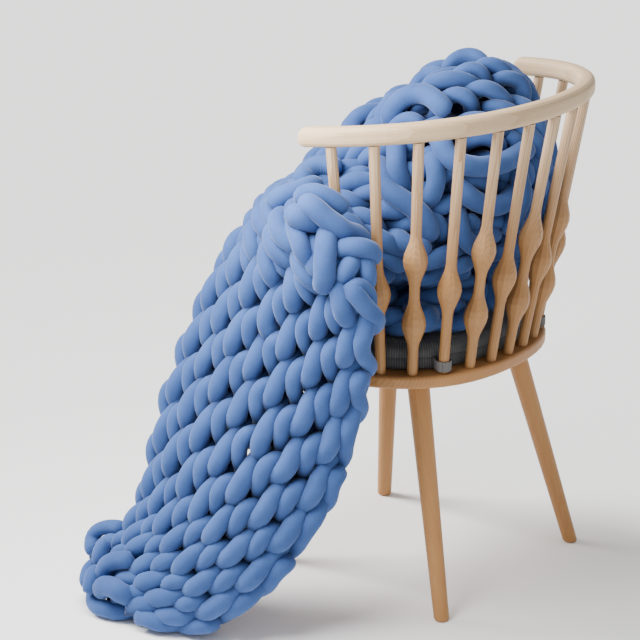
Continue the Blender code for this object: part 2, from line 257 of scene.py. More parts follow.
def upright(tree):
    """Fibres that run up the piece."""
    return tree.nodes.new("ShaderNodeTexCoord").outputs["Object"]


def sideways(tree):
    """Fibres that run along Y, as in the board's planks."""
    place = node(tree, "ShaderNodeTexCoord")
    turned = node(tree, "ShaderNodeMapping", {"Rotation": (pi / 2, 0, PLANK_TURN)},
                  {"Vector": place.outputs["Object"]})
    return turned.outputs[0]


def from_chair(tree):
    """A point's place from the chair's middle, its coordinates, and the angle round the chair."""
    place = node(tree, "ShaderNodeTexCoord")
    middle = node(tree, "ShaderNodeVectorMath", {1: (CHAIR.x, CHAIR.y, 0)},
                  {0: place.outputs["Object"]}, operation="SUBTRACT").outputs[0]
    parts = node(tree, "ShaderNodeSeparateXYZ", None, {0: middle}).outputs
    return middle, parts, worked(tree, "ARCTAN2", parts["X"], parts["Y"])


def round_the_chair(tree, fibres_up, lean):
    """Distance out from the chair's middle, less the lean for each metre up, and then the
    distance round it and the height, with the one that the fibres follow last."""
    middle, parts, angle = from_chair(tree)
    along = worked(tree, "MULTIPLY", angle, RAIL_RADIUS)
    flat = node(tree, "ShaderNodeVectorMath", {1: (1, 1, 0)}, {0: middle}, operation="MULTIPLY")
    away = node(tree, "ShaderNodeVectorMath", None, {0: flat.outputs[0]}, operation="LENGTH")
    out_by = worked(tree, "MULTIPLY_ADD", parts["Z"], -lean, away.outputs["Value"])
    other, fibres = (along, parts["Z"]) if fibres_up else (parts["Z"], along)
    return node(tree, "ShaderNodeCombineXYZ", None, {"X": out_by, "Y": other, "Z": fibres}).outputs[0]


def along_the_rail(tree):
    """Fibres that run round the chair with the bent rail."""
    return round_the_chair(tree, False, 0.0)


def along_the_spindles(tree):
    """Fibres that run up the leaning spindles, whose year rings face out from the chair."""
    return round_the_chair(tree, True, SPINDLE_LEAN)


def finish_node(name, material):
    """Give a CAD node its looks, in every material slot of its object."""
    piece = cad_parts[name]
    if not piece.data.materials:
        piece.data.materials.append(material)
    for slot in piece.material_slots:
        slot.material = material


OILED = 0.41, 0.205, 0.072
BLEACHED = 0.56, 0.415, 0.262
board_wood = wood("board_wood", OILED, (0.26, 0.115, 0.037), rings=240, ring_strength=0.4,
                  roughness=0.42, place=sideways)
leg_wood = wood("leg_wood", OILED, (0.31, 0.142, 0.044), rings=120, ring_strength=0.12,
                roughness=0.42, place=upright)
rail_wood = wood("rail_wood", BLEACHED, (0.38, 0.250, 0.135), rings=150, ring_strength=0.30,
                 roughness=0.48, place=along_the_rail)
# The spindles have painted light: paler up top, warmer tan below
spindle_wood = wood("spindle_wood", (0.54, 0.400, 0.255), (0.26, 0.130, 0.052), rings=300,
                    ring_strength=0.45, roughness=0.45, place=along_the_spindles,
                    low=((0.355, 0.178, 0.058), 0.56, 0.72))
finish_node("seat_board", board_wood)
finish_node("back_rail", rail_wood)
for side in ("front_left", "front_right", "rear_left", "rear_right"):
    finish_node("leg_" + side, leg_wood)
for number in range(1, SPINDLES + 1):
    finish_node(f"spindle_{number:02d}", spindle_wood)


# ---------------------------------------------------------------- Seat cushion
# A thin foam pad in a ribbed grey cover, cut to the board's outline. The cover is sewn
# round its side with one seam, and the top is a little crowned.
CUSHION_ROUND = 160             # points round the outline
CUSHION_INSET = 0.0275          # from the board's edge
CUSHION_SIDE = 0.20             # from the seat's middle to the ribs on the side, about
BOARD_RADIUS = 0.2267
BOARD_SQUARED = 0.0258          # share of the radius by which the outline's corners stand out
BOARD_WIDE = 0.0233             # and by which it is wider than deep
DENT = 0.0012
SEAT_Y = CHAIR.y - BOARD_OFF_MIDDLE
cushion_low, cushion_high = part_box("seat_cushion")
CUSHION_THICK = cushion_high.z - cushion_low.z
CUSHION_PROFILE = [             # inset from the seam, share of the thickness
    (0.0300, 0.0), (0.0120, 0.0), (0.0040, 0.05), (0.0008, 0.18), (0.0000, 0.34), (0.0007, 0.44),
    (0.0030, 0.485), (0.0036, 0.50), (0.0030, 0.515), (0.0007, 0.56), (0.0000, 0.68),
    (0.0024, 0.84), (0.0090, 0.94), (0.0240, 0.985), (0.0600, 1.0), (0.1200, 1.0),
]
UNDERSIDE = 0.1                 # share of the thickness below which the cover has no dents


def board_radius(azimuth):
    """From the seat's middle to the board's edge; 0 is the front."""
    return BOARD_RADIUS * (1 - BOARD_SQUARED * cos(4 * azimuth) - BOARD_WIDE * cos(2 * azimuth))


def cushion_point(azimuth, inset, share):
    """A point of the cover, with the soft dents that sitting leaves in its edge."""
    dent = DENT * (sin(5 * azimuth + 1) + 0.6 * sin(13 * azimuth)) * (share > UNDERSIDE)
    radius = board_radius(azimuth) - CUSHION_INSET - inset - max(dent, 0)
    height = cushion_low.z + CUSHION_THICK * share
    return (CHAIR.x + radius * sin(azimuth), SEAT_Y - radius * cos(azimuth), height)


def capped_faces(rings, sides):
    """Quads between rings of points, with a face over each end."""
    quads = [(r * sides + c, r * sides + (c + 1) % sides,
              (r + 1) * sides + (c + 1) % sides, (r + 1) * sides + c)
             for r in range(rings - 1) for c in range(sides)]
    return quads + [tuple(range(sides))[::-1], tuple(range((rings - 1) * sides, rings * sides))]


def smooth_mesh(name, points, faces):
    """A smooth-shaded mesh."""
    mesh = bpy.data.meshes.new(name)
    mesh.from_pydata(points, [], faces)
    mesh.shade_smooth()
    return mesh


cover_points = [cushion_point(2 * pi * i / CUSHION_ROUND, inset, share)
                for inset, share in CUSHION_PROFILE for i in range(CUSHION_ROUND)]
cover_mesh = smooth_mesh("cushion_cover", cover_points,
                         capped_faces(len(CUSHION_PROFILE), CUSHION_ROUND))


def waves(tree, turns):
    """A sine wave over a count of turns."""
    return worked(tree, "SINE", worked(tree, "MULTIPLY", turns, 2 * pi))


weave, given, out = group(
    "ribbed_weave",
    [("Place", "Vector", None), ("Light", "Color", (0.3, 0.3, 0.3, 1)),
     ("Dark", "Color", (0.1, 0.1, 0.1, 1)), ("Ribs", "Float", 500.0), ("Threads", "Float", 900.0)],
    [("Colour", "Color"), ("Height", "Float")])
parts = node(weave, "ShaderNodeSeparateXYZ", None, {0: given["Place"]}).outputs
ribs, threads = [waves(weave, worked(weave, "MULTIPLY", parts[axis], given[count]))
                 for axis, count in (("X", "Ribs"), ("Y", "Threads"))]
crossed = worked(weave, "MULTIPLY_ADD", threads, 0.35, ribs)
fluff = noise(weave, given["Place"], 420.0, 3.0)
height = worked(weave, "MULTIPLY_ADD", fluff.outputs["Fac"], 1.4, crossed)
tone = node(weave, "ShaderNodeMapRange", {"From Min": -0.9, "From Max": 2.2}, {"Value": height})
weave.links.new(mixed(weave, tone.outputs[0], given["Dark"], given["Light"]), out["Colour"])
weave.links.new(height, out["Height"])


def cloth(name, light, dark, ribs, threads, place):
    """A ribbed woven cloth; place makes its coordinates, in metres along and across the ribs."""
    material, tree, shader = new_material(name, 0.92)
    look = node(tree, "ShaderNodeGroup",
                {"Light": (*light, 1), "Dark": (*dark, 1), "Ribs": ribs, "Threads": threads},
                {"Place": place(tree)}, node_tree=weave)
    tree.links.new(look.outputs["Colour"], shader.inputs["Base Color"])
    bump_from(tree, shader, look, 0.5, 0.0006)
    shader.inputs["Sheen Weight"].default_value = 0.15
    return material


def round_the_seat(tree):
    """Distance round the seat, and height: the ribs stand upright on the cushion's side."""
    _, parts, angle = from_chair(tree)
    return node(tree, "ShaderNodeCombineXYZ", None,
                {"X": worked(tree, "MULTIPLY", angle, CUSHION_SIDE), "Y": parts["Z"]}).outputs[0]


cover_cloth = cloth("cover_cloth", (0.105, 0.107, 0.112), (0.020, 0.022, 0.026), ribs=260,
                    threads=700, place=round_the_seat)
cushion = link("cushion_cover", cover_mesh, cover_cloth)
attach(cushion, "root")
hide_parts("seat_cushion")


# ---------------------------------------------------------------- Strap loops
# Two bands of the cover's cloth are sewn into the cushion's side. Each runs round one
# spindle's foot and back, and keeps the cushion from sliding.
STRAP_SPINDLES = 4, 10
STRAP_WIDTH = 0.016
STRAP_THICK = 0.002
STRAP_CLEAR = 0.0022            # from the spindle's foot to the band
STRAP_OFF_CUSHION = 0.0012      # from the cushion's side to the band's ends
STRAP_BEND = 25                 # points round the spindle
STRAP_SIDES = 24                # points round the band's section
STRAP_FLAT = 0.35, 0.6          # powers that flatten a round section: up its width, across it
SPINDLE_STEP = radians(12.73)   # round the chair, from one spindle to the next
SPINDLE_FOOT_RADIUS = 0.0082
SPINDLE_TOP = 0.25              # this far above the strap, a spindle's points are at its top


def mean_place(points):
    """The middle of several points."""
    return sum(points, Vector()) / len(points)


def strap_route(number):
    """The band's middle line: out beside the spindle's foot, round it, and back."""
    low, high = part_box(f"strap_loop_{number:02d}")
    azimuth = pi + (number - (SPINDLES + 1) / 2) * SPINDLE_STEP
    outward = Vector((sin(azimuth), -cos(azimuth), 0))
    aside = Vector((cos(azimuth), sin(azimuth), 0))
    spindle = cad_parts[f"spindle_{number:02d}"].data
    foot = mean_place([v.co for v in spindle.vertices if v.co.z < low.z])
    top = mean_place([v.co for v in spindle.vertices if v.co.z > high.z + SPINDLE_TOP])
    level = (low.z + high.z) / 2
    centre = foot.lerp(top, (level - foot.z) / (top.z - foot.z))
    radius = SPINDLE_FOOT_RADIUS + STRAP_CLEAR + STRAP_THICK / 2
    inner = (Vector((CHAIR.x, SEAT_Y, centre.z))
             + outward * (board_radius(azimuth) - CUSHION_INSET + STRAP_OFF_CUSHION))
    reach = (inner - centre).dot(outward)
    route = [centre + aside * radius + outward * reach * share for share in (1.0, 0.5)]
    route += [centre + aside * (radius * cos(a)) + outward * (radius * sin(a))
              for a in np.linspace(0, pi, STRAP_BEND)]
    return route + [centre - aside * radius + outward * reach * share for share in (0.5, 1.0)]


def strap_section():
    """A flat band with rounded edges: how far across its thickness and up its width."""
    section = []
    flat_up, flat_across = STRAP_FLAT
    for turn in np.linspace(0, 2 * pi, STRAP_SIDES, endpoint=False):
        up = np.sign(cos(turn)) * abs(cos(turn)) ** flat_up
        thick = np.sign(sin(turn)) * abs(sin(turn)) ** flat_across
        section.append((thick * STRAP_THICK / 2, up * STRAP_WIDTH / 2))
    return section


strap_cloth = cloth("strap_cloth", (0.145, 0.138, 0.132), (0.065, 0.062, 0.060), ribs=420,
                    threads=900, place=upright)
for number in STRAP_SPINDLES:
    route = strap_route(number)
    points = []
    for i, here in enumerate(route):
        ahead = route[min(i + 1, len(route) - 1)] - route[max(i - 1, 0)]
        side = ahead.cross(Vector((0, 0, 1))).normalized()
        points += [here + side * thick + Vector((0, 0, up)) for thick, up in strap_section()]
    mesh = smooth_mesh(f"strap_band_{number:02d}", points, capped_faces(len(route), STRAP_SIDES))
    strap = link(f"strap_band_{number:02d}", mesh, strap_cloth)
    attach(strap, "root")
    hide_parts(f"strap_loop_{number:02d}")


# ---------------------------------------------------------------- Blanket: how it lies
# One long strip, knitted by hand in plain stitch from a stuffed jersey tube as thick as a
# thumb. Its lower end rests on the floor; it hangs over the chair's left side, turns in
# over the rail's arm and lies heaped on the cushion, folded under itself.
LIE = [                         # name, right edge, middle, left edge, fullness, half thickness
    ("end", (0.500, -0.196, 0.018), (0.478, -0.256, 0.026), (0.396, -0.310, 0.052), 2.0, 0.026),
    ("foot", (0.474, -0.126, 0.016), (0.452, -0.212, 0.044), (0.386, -0.292, 0.064), 2.0, 0.032),
    ("toe", (0.442, -0.044, 0.026), (0.436, -0.130, 0.108), (0.378, -0.254, 0.082), 2.2, 0.032),
    ("shin", (0.398, 0.032, 0.098), (0.410, -0.080, 0.180), (0.362, -0.236, 0.138), 2.4, 0.032),
    ("calf", (0.348, 0.076, 0.180), (0.380, -0.060, 0.262), (0.336, -0.236, 0.205), 2.5, 0.032),
    ("knee", (0.307, 0.102, 0.275), (0.342, -0.045, 0.345), (0.306, -0.234, 0.285), 2.5, 0.032),
    ("board", (0.293, 0.122, 0.370), (0.311, -0.030, 0.420), (0.274, -0.228, 0.365), 2.5, 0.032),
    ("seat", (0.296, 0.141, 0.460), (0.295, -0.025, 0.488), (0.242, -0.215, 0.432), 2.5, 0.032),
    ("flap", (0.305, 0.145, 0.545), (0.286, -0.032, 0.548), (0.206, -0.189, 0.490), 2.6, 0.032),
    ("bend", (0.313, 0.062, 0.602), (0.258, -0.058, 0.594), (0.166, -0.172, 0.532), 2.4, 0.025),
    ("turn", (0.236, -0.020, 0.632), (0.178, -0.100, 0.612), (0.098, -0.170, 0.550), 2.3, 0.019),
    ("slope", (0.200, 0.014, 0.600), (0.112, -0.078, 0.636), (0.028, -0.168, 0.572), 2.6, 0.028),
    ("rise", (0.178, 0.074, 0.562), (0.050, -0.032, 0.695), (-0.060, -0.160, 0.580), 3.0, 0.032),
    ("top", (0.142, 0.118, 0.541), (-0.008, 0.025, 0.752), (-0.140, -0.115, 0.562), 3.2, 0.032),
    ("crown", (0.090, 0.150, 0.540), (-0.065, 0.085, 0.795), (-0.178, -0.040, 0.558), 3.2, 0.032),
    ("brow", (0.030, 0.166, 0.545), (-0.108, 0.140, 0.745), (-0.174, 0.030, 0.560), 3.0, 0.032),
    ("back", (-0.022, 0.160, 0.545), (-0.132, 0.158, 0.645), (-0.164, 0.078, 0.556), 2.5, 0.026),
    ("heel", (-0.050, 0.142, 0.493), (-0.120, 0.134, 0.520), (-0.146, 0.088, 0.497), 2.2, 0.018),
    ("under", (-0.010, 0.122, 0.442), (-0.074, 0.074, 0.450), (-0.132, 0.040, 0.442), 2.0, 0.018),
    ("hump", (0.076, 0.136, 0.440), (-0.015, 0.010, 0.560), (-0.128, -0.060, 0.440), 2.4, 0.030),
    ("brink", (0.140, 0.084, 0.440), (0.045, -0.050, 0.535), (-0.070, -0.128, 0.440), 2.4, 0.030),
    ("tail", (0.162, 0.005, 0.440), (0.095, -0.105, 0.448), (0.005, -0.160, 0.440), 2.0, 0.026),
]
PER_ROW = 20                    # sections of the middle surface from one row to the next
ACROSS = 61                     # points across it
ALONG_ARCH = 81                 # points of the arch that they are spaced along
FULL_HALF = 0.032               # the half thickness where the stitches have their full depth


def smooth_rows(table, places):
    """Rows of the table read at places between them, along a smooth curve through each value."""
    ends = np.vstack([2 * table[0] - table[1], table, 2 * table[-1] - table[-2]])
    i = np.minimum(places.astype(int), len(table) - 2)
    s = (places - i)[:, None]
    a, b, c, d = ends[i], ends[i + 1], ends[i + 2], ends[i + 3]
    return 0.5 * (2 * b + (c - a) * s + (2 * a - 5 * b + 4 * c - d) * s ** 2
                  + (3 * b - a - 3 * c + d) * s ** 3)


def spread(row, shares):
    """Points across one row, evenly spaced along its arch from the right edge to the left."""
    right, top, left, fullness = row[0:3], row[3:6], row[6:9], row[9]
    fine = np.linspace(0, 1, ALONG_ARCH)[:, None]
    arch = 1 - np.abs(2 * fine - 1) ** fullness
    line = right + (left - right) * fine + (top - (right + left) / 2) * arch
    travelled = np.append(0, np.cumsum(np.linalg.norm(np.diff(line, axis=0), axis=1)))
    wanted = shares * travelled[-1]
    return np.stack([np.interp(wanted, travelled, line[:, axis]) for axis in range(3)], axis=1)


def unit(vectors):
    """Vectors of length 1."""
    return vectors / np.maximum(np.linalg.norm(vectors, axis=-1, keepdims=True), 1e-9)


lie = np.array([[*right, *top, *left, *rest] for _, right, top, left, *rest in LIE])
places = np.linspace(0, len(lie) - 1, (len(lie) - 1) * PER_ROW + 1)
rows = smooth_rows(lie, places)
strip = np.stack([spread(row, np.linspace(0, 1, ACROSS)) for row in rows]) + np.array(CHAIR)
strip_along, strip_across = np.gradient(strip, axis=0), np.gradient(strip, axis=1)
strip_out = unit(np.cross(strip_along, strip_across))
strip_half = rows[:, -1]
# Distance along each column of the strip from its first row
steps = np.linalg.norm(np.diff(strip, axis=0), axis=2)
strip_run = np.vstack([np.zeros(ACROSS), np.cumsum(steps, axis=0)])


def on_grid(grid, row, column):
    """A grid read between its points."""
    r = np.clip(np.floor(row).astype(int), 0, grid.shape[0] - 2)
    c = np.clip(np.floor(column).astype(int), 0, grid.shape[1] - 2)
    s, t = (row - r)[:, None], (column - c)[:, None]
    return ((grid[r, c] * (1 - s) + grid[r + 1, c] * s) * (1 - t)
            + (grid[r, c + 1] * (1 - s) + grid[r + 1, c + 1] * s) * t)


def row_at(level, distance, share):
    """The row, as a count of sections, at a distance along the strip from the level row."""
    column = np.clip(share, 0, 1) * (ACROSS - 1)
    left = np.minimum(column.astype(int), ACROSS - 2)
    found = np.zeros(len(distance))
    for i, (c, d) in enumerate(zip(left, distance)):
        t = column[i] - c
        line = strip_run[:, c] * (1 - t) + strip_run[:, c + 1] * t
        line = line - line[level]
        found[i] = np.interp(d, line, np.arange(len(line)), left=-1, right=len(line))
    return found


def on_strip(row, share, lift):
    """Points at a row and a share of the strip's width, lifted off it, and its outward way."""
    inside = np.clip(share, 0, 1)
    column = inside * (ACROSS - 1)
    side = on_grid(strip_across, row, column) * (ACROSS - 1)
    thin = np.interp(row, np.arange(len(rows)), strip_half) / FULL_HALF
    outward = unit(on_grid(strip_out, row, column))
    place = on_grid(strip, row, column) + side * (share - inside)[:, None]
    return place + outward * (lift * thin)[:, None], outward


# ---------------------------------------------------------------- Blanket: the knitting
# Each course is a row of loops; a loop's two legs lie in front and its head and foot
# behind, through the loops above and below. Hanging has pulled the loops askew: the right
# legs are straight and slope in under the course above, the left legs curl round them.
TUBE_RADIUS = 0.0133
DEPTH = 0.0175                  # from the middle surface to the legs' line
LOOP = [                        # name, across in stitches, up in courses, lift in depths, fatness
    ("right leg, low end", 0.02, 0.03, 1.12, 1.16),
    ("right leg, middle", -0.04, 0.40, 1.00, 1.14),
    ("right leg, top", -0.06, 0.76, 0.25, 1.02),
    ("head, right", -0.14, 1.04, -0.75, 1.00),
    ("head, middle", 0.06, 1.20, -1.10, 1.10),
    ("head, left", 0.27, 1.17, -0.10, 0.98),
    ("left leg, shoulder", 0.48, 0.97, 0.85, 1.03),
    ("left leg, middle", 0.60, 0.69, 1.05, 1.02),
    ("left leg, low end", 0.50, 0.40, 0.60, 0.96),
    ("left leg, tail", 0.34, 0.24, -0.30, 0.94),
    ("foot, right", 0.62, -0.20, -0.90, 1.36),
    ("foot, left", 0.98, -0.24, -0.60, 1.38),
]
TURN_RIGHT = [(-0.52, 1.68, -0.90, 0.90)]       # from the first stitch, past the right edge
TURN_LEFT = [(-0.10, -0.12, -0.75, 0.95),       # from one past the last, at the left edge
             (-0.02, 0.36, -0.60, 0.95)]
# The fall and the heap are two panels that meet at the turn over the arm, and loose folds
# fill the heap. A panel runs between two rows of LIE, and its right edge starts slant rows
# later. Courses are counted from the level row, and lie farther on by rise at the left edge
# than at the right. Loops stray by muddle along the strip and by loft off it.
FALL = dict(first=0.3, slant=0.45, last=10.3, level=8, wales=7, course=0.0775, rise=0.26,
            muddle=0.03, loft=0.001, fat=1.0, under=0.0)
HEAP = dict(first=10.0, slant=0.0, last=21, level=14, wales=10, course=0.076, rise=0.12,
            muddle=0.13, loft=0.006, fat=0.96, under=0.0)
# The folds inside lie under the strip, so nearly all their yarn gets the full painted shade
FOLDS_INSIDE = dict(first=11.2, slant=0.0, last=17.3, level=14, wales=5, course=0.100, rise=0.20,
                    muddle=0.16, loft=0.008, fat=1.2, under=0.046)
EDGE = 0.55                     # from the outermost legs to the strip's edge, in stitches
LEG_TO_LEG = 0.6                # across a loop, in stitches
UNEVEN = 0.03                   # of the yarn's thickness
SWAY = 5                        # points of a loop from one stray value to the next
LIFT_SWAY = 7                   # and for its height over the strip
SPARE = 3                       # courses knitted past each end, then cut off
CUT_GAP = 0.13                  # points farther apart than this lie on different lengths
OFFCUT = 6                      # points; a length with no more than this is dropped
FINER = 2                       # points of the settled line for each named point
UNSHADED = 0.09, 0.87, 0.06     # shares of the width: the two edges' bands without painted shade, and their blend
RAISED = 0.05                   # counted as this much higher, the edges get no painted shade
draw = np.random.default_rng(7)


def slow_noise(count, step, size):
    """A smooth wander of that size, with a new value every few points."""
    knots = draw.normal(0, size, count // step + 3)
    at = np.arange(count) / step
    i = at.astype(int)
    s = at - i
    s = s * s * (3 - 2 * s)
    return knots[i] * (1 - s) + knots[i + 1] * s


def knit(first, slant, last, level, wales, course, rise, muddle, loft, fat, under):
    """A panel's yarn, cut off at its first and last row. Each length of it is its points,
    its radii and its bed, which sets its painted shade: the strip's outward way and the height over the
    strip."""
    lowest = -int((strip_run[level * PER_ROW].max() + rise) / course) - SPARE
    highest = int((strip_run[-1] - strip_run[level * PER_ROW]).max() / course) + SPARE
    loop = np.array([values for _, *values in LOOP])
    last_half = loop[6:] - (1, 0, 0, 0)
    one_course = np.vstack([last_half] + [loop + (wale, 0, 0, 0) for wale in range(wales)])[:-1]
    line = []
    for number in range(lowest, highest):
        count = len(one_course)
        here = one_course + (0, number, 0, 0)
        here[:, 0] += slow_noise(count, SWAY, muddle)
        here[:, 1] += slow_noise(count, SWAY, muddle)
        here[:, 2] += slow_noise(count, LIFT_SWAY, loft / DEPTH)
        here[:, 3] *= 1 + slow_noise(count, SWAY, UNEVEN)
        if number % 2 == 0:
            line += [here[::-1], np.array(TURN_RIGHT) + (0, number, 0, 0)]
        else:
            line += [here, np.array(TURN_LEFT) + (wales, number, 0, 0)]
    line = np.vstack(line)
    line = smooth_rows(line, np.arange(0, len(line) - 1, 1 / FINER))
    across, up, lift, fatness = line.T
    share = (across + EDGE) / (wales - 1 + LEG_TO_LEG + 2 * EDGE)
    row = row_at(level * PER_ROW, up * course + rise * (share - 0.5), share)
    points, outward = on_strip(row, share, lift * DEPTH - under)
    from_row = (first + slant * (1 - share)) * PER_ROW
    index = np.flatnonzero((row >= from_row) & (row <= last * PER_ROW))
    gaps = np.linalg.norm(np.diff(points[index], axis=0), axis=1)
    # No gaps lie beside the outermost tubes, so none of those gets painted shade
    right, left, blend = UNSHADED
    edge = np.clip(np.maximum(right - share, share - left) / blend, 0, 1)
    bed = np.column_stack([outward, lift * DEPTH - under + RAISED * edge])
    return [(points[part], fatness[part] * TUBE_RADIUS * fat, bed[part])
            for part in np.split(index, np.flatnonzero(gaps > CUT_GAP) + 1) if len(part) > OFFCUT]


# ---------------------------------------------------------------- Blanket: loose loops
# Some loops hang out of the rows: over the flap's edge and at its corner, at the floor end,
# and on the heap. Each lies where it shows, and its ends go in among the stitches.
LOOSE_ON_FALL = [               # name, fatness, its route from the chair's middle
    ("over the flap's edge", 1.22, (
        (0.284, 0.036, 0.648), (0.328, 0.048, 0.670), (0.328, 0.064, 0.666), (0.322, 0.080, 0.655),
        (0.314, 0.094, 0.641), (0.302, 0.104, 0.628), (0.278, 0.106, 0.612), (0.254, 0.096, 0.590))),
    ("end of the edge", 1.25, (
        (0.308, 0.028, 0.628), (0.332, 0.032, 0.650), (0.336, 0.044, 0.660), (0.326, 0.056, 0.652),
        (0.304, 0.060, 0.638), (0.280, 0.056, 0.626))),
    ("behind the edge", 1.08, (
        (0.300, 0.026, 0.660), (0.314, 0.042, 0.674), (0.306, 0.054, 0.680), (0.294, 0.068, 0.676),
        (0.282, 0.080, 0.662), (0.256, 0.074, 0.644))),
    ("long upright", 1.26, (
        (0.284, 0.056, 0.632), (0.322, 0.084, 0.626), (0.334, 0.092, 0.606), (0.338, 0.095, 0.586),
        (0.334, 0.095, 0.564), (0.304, 0.080, 0.542))),
    ("short upright", 1.05, (
        (0.306, 0.024, 0.632), (0.334, 0.042, 0.626), (0.338, 0.054, 0.610), (0.332, 0.062, 0.594),
        (0.308, 0.056, 0.570))),
    ("corner hook", 1.10, (
        (0.284, 0.082, 0.580), (0.314, 0.104, 0.604), (0.309, 0.117, 0.612), (0.298, 0.128, 0.609),
        (0.286, 0.132, 0.595), (0.262, 0.118, 0.572))),
    ("under the hook", 1.08, (
        (0.278, 0.114, 0.580), (0.308, 0.123, 0.587), (0.320, 0.119, 0.581), (0.315, 0.108, 0.566),
        (0.290, 0.096, 0.548))),
    ("corner's rim", 0.98, (
        (0.270, 0.096, 0.604), (0.294, 0.116, 0.615), (0.293, 0.127, 0.604), (0.293, 0.132, 0.585),
        (0.298, 0.131, 0.564), (0.284, 0.110, 0.544))),
    ("below the hook", 1.16, (
        (0.288, 0.110, 0.566), (0.311, 0.123, 0.560), (0.316, 0.126, 0.542), (0.313, 0.126, 0.522),
        (0.290, 0.110, 0.510))),
    ("filling the corner", 1.25, (
        (0.270, 0.070, 0.610), (0.288, 0.080, 0.604), (0.296, 0.092, 0.590), (0.294, 0.098, 0.570),
        (0.276, 0.092, 0.556))),
    ("long, at the left", 1.22, (
        (0.262, -0.050, 0.622), (0.270, -0.052, 0.640), (0.270, -0.036, 0.652), (0.260, -0.016, 0.660),
        (0.236, -0.008, 0.664), (0.196, -0.020, 0.656))),
    ("arch, at the left", 1.15, (
        (0.216, -0.036, 0.652), (0.200, -0.050, 0.664), (0.176, -0.052, 0.674), (0.160, -0.036, 0.680),
        (0.158, -0.014, 0.676), (0.150, 0.000, 0.656))),
]
LOOSE_AT_END = [                # at the floor
    ("standing out", 0.86, (
        (0.400, -0.238, 0.108), (0.402, -0.262, 0.108), (0.404, -0.288, 0.102), (0.408, -0.304, 0.092),
        (0.414, -0.308, 0.080), (0.424, -0.292, 0.070), (0.434, -0.272, 0.058))),
    ("knob", 1.00, (
        (0.446, -0.250, 0.056), (0.450, -0.254, 0.074), (0.444, -0.256, 0.088), (0.438, -0.244, 0.094),
        (0.430, -0.238, 0.078))),
    ("long", 1.08, (
        (0.454, -0.232, 0.044), (0.470, -0.232, 0.062), (0.470, -0.222, 0.078), (0.468, -0.204, 0.088),
        (0.462, -0.184, 0.090), (0.444, -0.176, 0.078))),
    ("oval", 1.20, (
        (0.484, -0.230, 0.032), (0.494, -0.224, 0.048), (0.494, -0.206, 0.056), (0.492, -0.186, 0.054),
        (0.484, -0.168, 0.046), (0.462, -0.166, 0.034))),
    ("outer rim", 0.90, (
        (0.432, -0.266, 0.056), (0.450, -0.270, 0.058), (0.468, -0.266, 0.052), (0.482, -0.254, 0.042),
        (0.484, -0.240, 0.030))),
    ("inner rim", 0.90, (
        (0.444, -0.248, 0.052), (0.466, -0.250, 0.060), (0.486, -0.242, 0.054), (0.496, -0.232, 0.042),
        (0.488, -0.230, 0.024))),
    ("low rim", 1.05, (
        (0.455, -0.246, 0.040), (0.480, -0.246, 0.030), (0.494, -0.230, 0.022), (0.494, -0.210, 0.018),
        (0.486, -0.188, 0.016), (0.462, -0.172, 0.020), (0.436, -0.168, 0.034))),
]
LOOSE_ON_HEAP = [
    ("arch on the crown", 1.22, (
        (0.050, 0.010, 0.716), (0.072, 0.018, 0.740), (0.060, 0.020, 0.760), (0.046, 0.036, 0.776),
        (0.046, 0.062, 0.784), (0.054, 0.090, 0.780), (0.058, 0.114, 0.762), (0.036, 0.108, 0.738))),
    ("long, under the rail", 1.22, (
        (0.056, 0.096, 0.724), (0.088, 0.126, 0.714), (0.094, 0.144, 0.700), (0.082, 0.164, 0.692),
        (0.056, 0.184, 0.688), (0.020, 0.197, 0.690), (-0.018, 0.198, 0.698), (-0.062, 0.176, 0.702))),
    ("hanging down", 1.15, (
        (0.078, 0.040, 0.722), (0.118, 0.066, 0.708), (0.138, 0.080, 0.690), (0.146, 0.086, 0.670),
        (0.140, 0.090, 0.650), (0.112, 0.086, 0.634))),
    ("long slant", 1.22, (
        (0.106, 0.026, 0.686), (0.146, 0.060, 0.676), (0.158, 0.086, 0.658), (0.154, 0.112, 0.642),
        (0.146, 0.132, 0.626), (0.132, 0.142, 0.604), (0.108, 0.126, 0.576))),
    ("short, hanging", 1.10, (
        (0.072, 0.092, 0.702), (0.106, 0.126, 0.692), (0.114, 0.136, 0.672), (0.118, 0.130, 0.648),
        (0.100, 0.108, 0.624))),
    ("swag", 1.18, (
        (0.060, 0.132, 0.666), (0.088, 0.158, 0.656), (0.076, 0.178, 0.638), (0.048, 0.192, 0.626),
        (0.016, 0.200, 0.630), (-0.020, 0.200, 0.644), (-0.052, 0.180, 0.652))),
    ("low bend", 1.10, (
        (0.146, 0.076, 0.590), (0.174, 0.104, 0.584), (0.168, 0.124, 0.576), (0.150, 0.138, 0.576),
        (0.116, 0.130, 0.580))),
    ("low swag", 1.12, (
        (0.060, 0.146, 0.624), (0.098, 0.164, 0.608), (0.100, 0.176, 0.588), (0.084, 0.184, 0.572),
        (0.050, 0.186, 0.570), (0.018, 0.170, 0.580))),
    ("at the back", 1.12, (
        (-0.020, 0.182, 0.674), (-0.004, 0.202, 0.656), (-0.006, 0.204, 0.632), (0.002, 0.203, 0.608),
        (0.010, 0.196, 0.590), (0.000, 0.176, 0.572))),
]


NO_BED = 0, 0, 0, 1             # no outward way, and far above the strip: never gets painted shade


def loose(routes):
    """Loops that hang out of the knitting, along their listed routes."""
    laid = []
    for _, fatness, route in routes:
        route = np.array(route) + np.array(CHAIR)
        line = smooth_rows(route, np.arange(0, len(route) - 1, 1 / FINER))
        laid.append((line, np.full(len(line), fatness * TUBE_RADIUS), np.tile(NO_BED, (len(line), 1))))
    return laid


lengths = knit(**FALL) + loose(LOOSE_ON_FALL) + loose(LOOSE_AT_END)
fall_count = len(lengths)
lengths += knit(**HEAP) + loose(LOOSE_ON_HEAP)
heap_count = len(lengths)
lengths += knit(**FOLDS_INSIDE)


